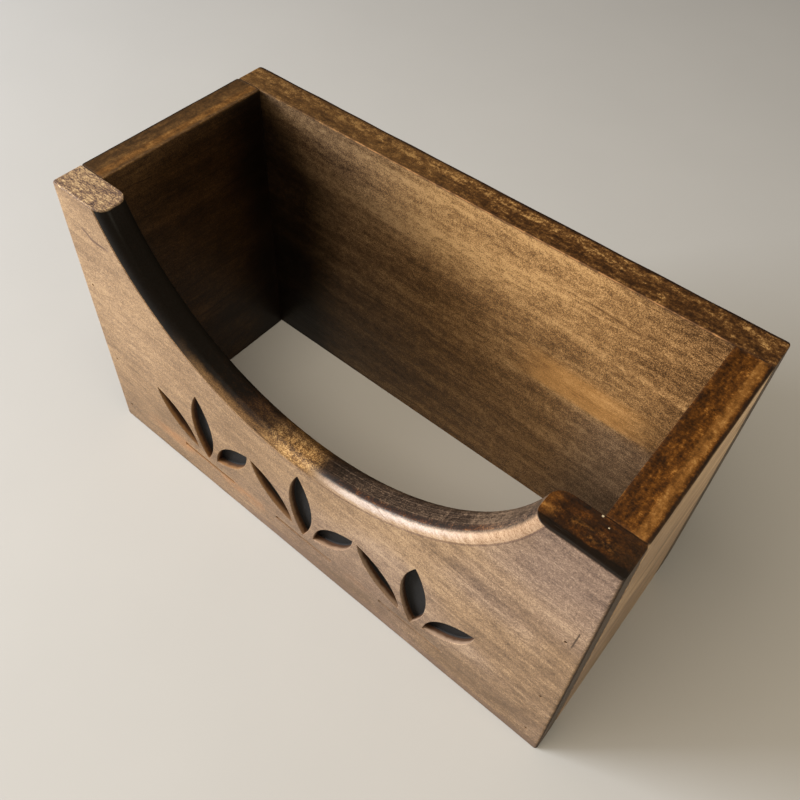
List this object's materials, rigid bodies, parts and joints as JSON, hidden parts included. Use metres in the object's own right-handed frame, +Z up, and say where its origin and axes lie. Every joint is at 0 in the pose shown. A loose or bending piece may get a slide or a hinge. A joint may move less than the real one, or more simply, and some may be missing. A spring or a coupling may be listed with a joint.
{
  "type": "open-bottomed wooden box",
  "caption": "Stained wooden box with no top or bottom, a deep rounded scoop in its front board and carved sprigs below the scoop.",
  "frame": {"origin": "centre of the outside box's footprint, on the surface the box stands on", "axes": "+Z up, +X along the length, -Y towards the scooped and carved front"},
  "size_m": [0.343, 0.1524, 0.2032],
  "materials": {
    "front_wood": "satin walnut stain, light and worn on the face, dark in the scoop and black in the carving",
    "back_wood": "satin walnut stain, darker along the top edge",
    "end_wood": "satin walnut stain, amber and mottled",
    "brad_steel": "plain bright steel wire"
  },
  "bodies": {
    "root": {"front_panel": "front_wood", "back_panel": "back_wood", "left_end_panel": "end_wood", "right_end_panel": "end_wood", "front_left_brads": "brad_steel", "front_right_brads": "brad_steel", "back_left_brads": "brad_steel", "back_right_brads": "brad_steel"}
  },
  "joints": []
}
